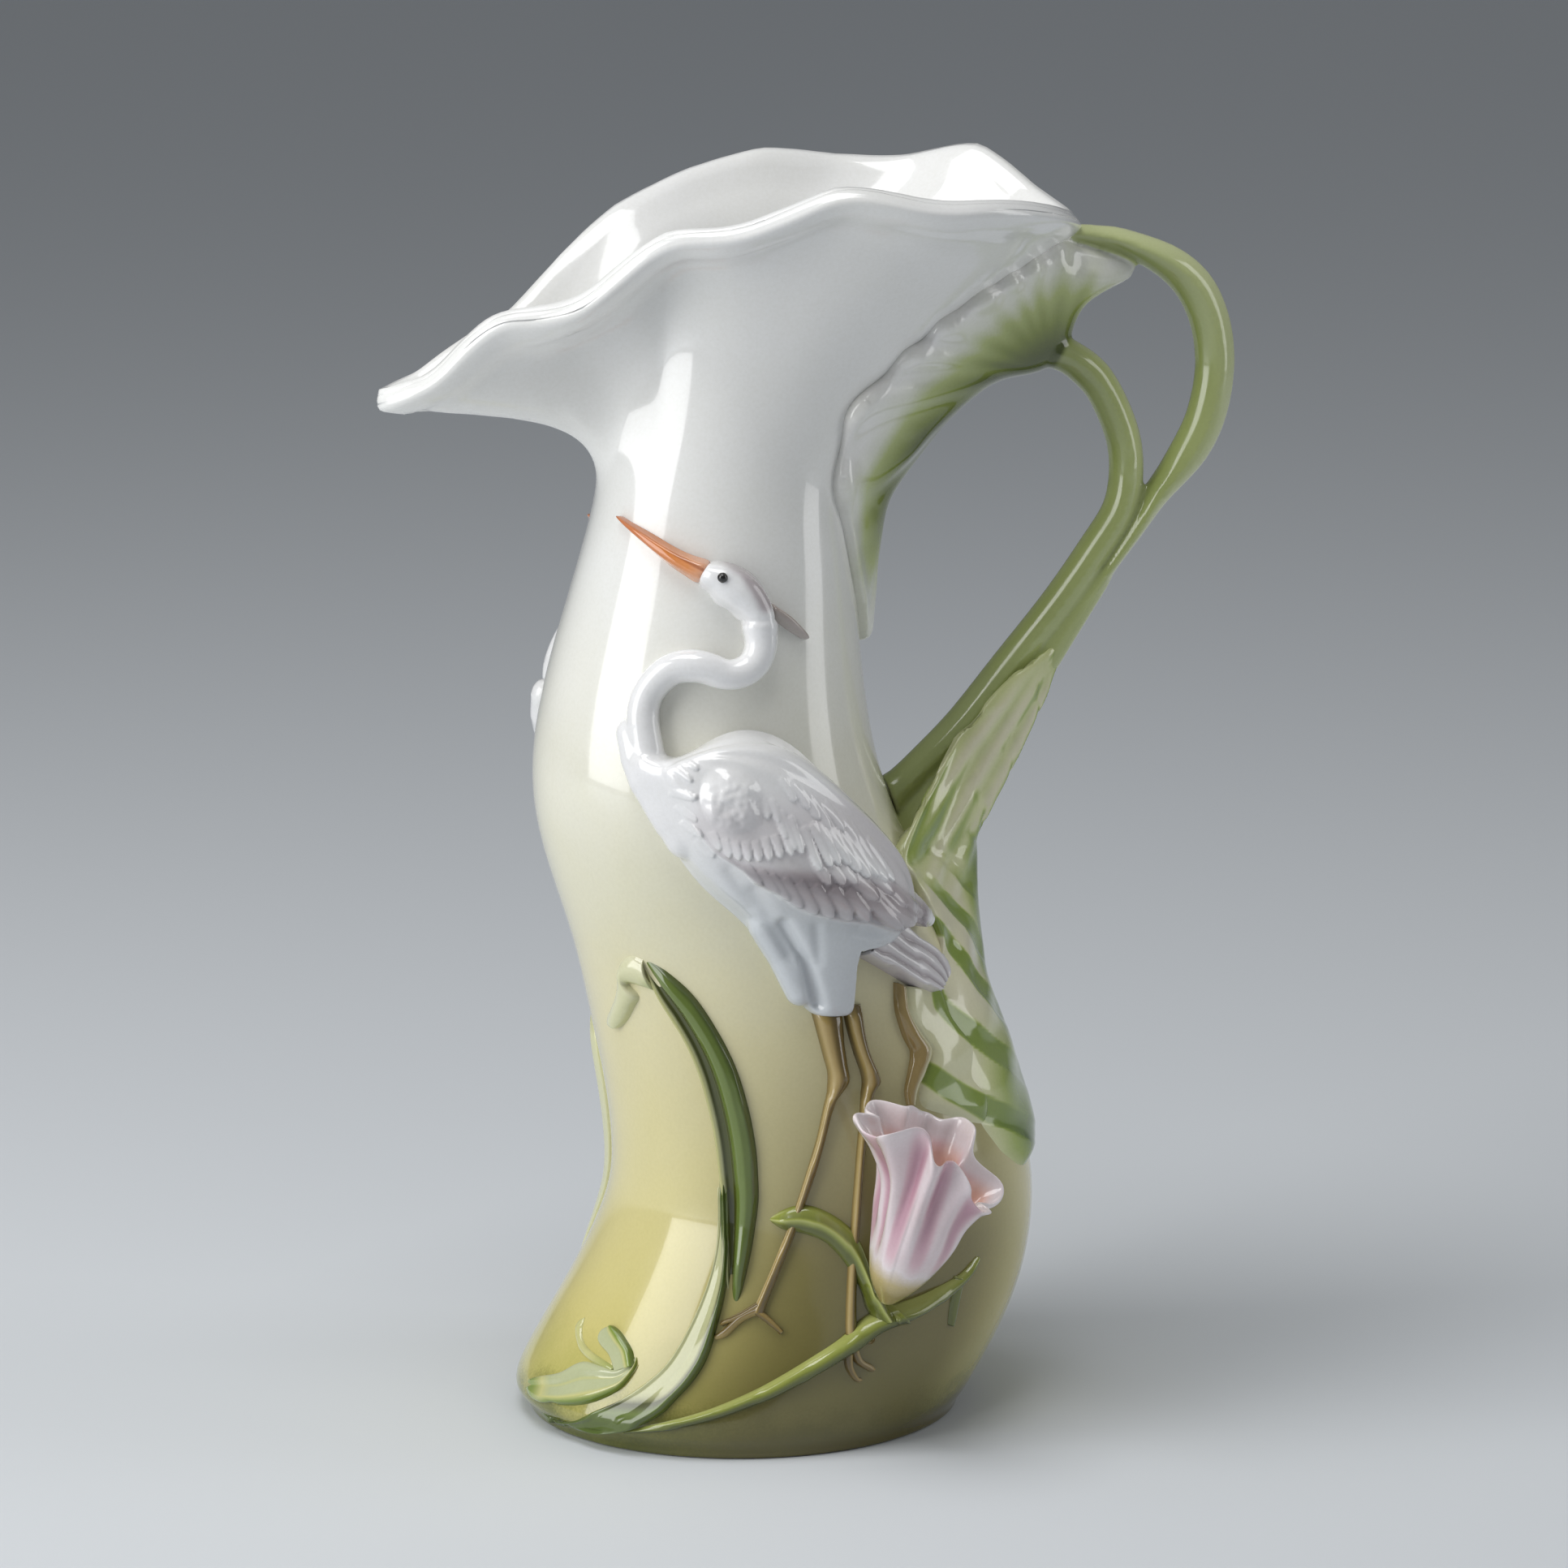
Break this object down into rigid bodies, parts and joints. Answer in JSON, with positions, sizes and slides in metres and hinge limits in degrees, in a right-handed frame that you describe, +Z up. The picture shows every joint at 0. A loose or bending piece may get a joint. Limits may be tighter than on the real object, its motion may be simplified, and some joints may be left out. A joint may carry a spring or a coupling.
{
  "type": "ewer",
  "caption": "Tall leaning porcelain ewer with a ruffled mouth, a long spout and a looped stem handle, with a wading bird, a flower and leaves in relief.",
  "frame": {"origin": "middle of the overall length and depth on the plane that the foot stands on", "axes": "+Z is up, +X points to the handle, -X to the spout, -Y to the side with the bird and the flower"},
  "size_m": [0.2351, 0.1558, 0.3413],
  "materials": {
    "body_glaze": "clear glaze over white porcelain, shading to olive at the foot",
    "stem_green": "clear glaze over green underglaze",
    "leaf_light": "clear glaze over shaded green underglaze",
    "leaf_dark": "clear glaze over dark green underglaze",
    "leaf_cream": "clear glaze over cream underglaze",
    "bird_white": "clear glaze over white porcelain",
    "bird_grey": "clear glaze over grey underglaze",
    "bill_orange": "clear glaze over orange underglaze",
    "crest_taupe": "clear glaze over taupe underglaze",
    "eye_black": "clear glaze over black",
    "leg_brown": "clear glaze over brown underglaze",
    "petal_pink": "clear glaze over pink underglaze"
  },
  "bodies": {
    "root": {"vessel_body": "body_glaze", "handle_outer_stem": "stem_green", "handle_inner_stem": "stem_green", "handle_upper_leaf": "leaf_light", "handle_lower_leaf": "leaf_light", "egret_body": "bird_white", "egret_wing": "bird_grey", "egret_tail": "bird_grey", "egret_neck": "bird_white", "egret_head": "bird_white", "egret_bill": "bill_orange", "egret_crest": "crest_taupe", "egret_eye": "eye_black", "egret_leg_front": "leg_brown", "egret_leg_rear": "leg_brown", "flower_cup": "petal_pink", "flower_stem": "stem_green", "flower_bract": "stem_green", "flower_side_stem": "stem_green", "blade_leaf": "leaf_dark", "blade_tip": "leaf_cream", "sprout_leaf": "leaf_light", "front_leaf": "leaf_cream", "far_egret_body": "bird_white", "far_egret_wing": "bird_grey", "far_egret_tail": "bird_grey", "far_egret_neck": "bird_white", "far_egret_head": "bird_white", "far_egret_bill": "bill_orange", "far_egret_crest": "crest_taupe", "far_egret_eye": "eye_black", "far_egret_leg_front": "leg_brown", "far_egret_leg_rear": "leg_brown"}
  },
  "joints": []
}
